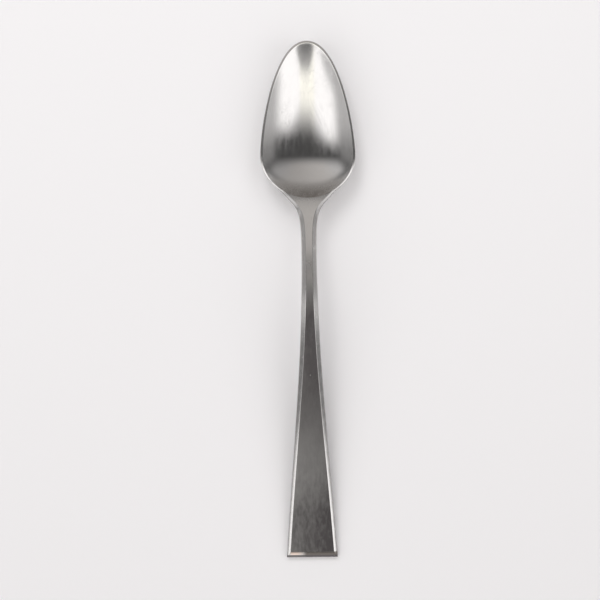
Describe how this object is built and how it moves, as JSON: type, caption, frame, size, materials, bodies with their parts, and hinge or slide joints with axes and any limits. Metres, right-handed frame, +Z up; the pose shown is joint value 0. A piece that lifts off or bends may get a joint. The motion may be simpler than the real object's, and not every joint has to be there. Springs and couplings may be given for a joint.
{
  "type": "teaspoon",
  "caption": "One-piece stainless steel teaspoon with an egg-shaped bowl, a slim arched neck and a flat bevelled handle that widens to a square end.",
  "frame": {"origin": "centre of the bounding box, on the surface that the spoon lies on", "axes": "+Y along the spoon from the handle's end to the bowl's tip, +Z up out of the bowl, +X across it"},
  "size_m": [0.0278, 0.152, 0.0142],
  "materials": {
    "satin_steel": "worn satin stainless steel with fine lengthwise brushing and brighter worn edges"
  },
  "bodies": {
    "root": {"spoon_body": "satin_steel"}
  },
  "joints": []
}
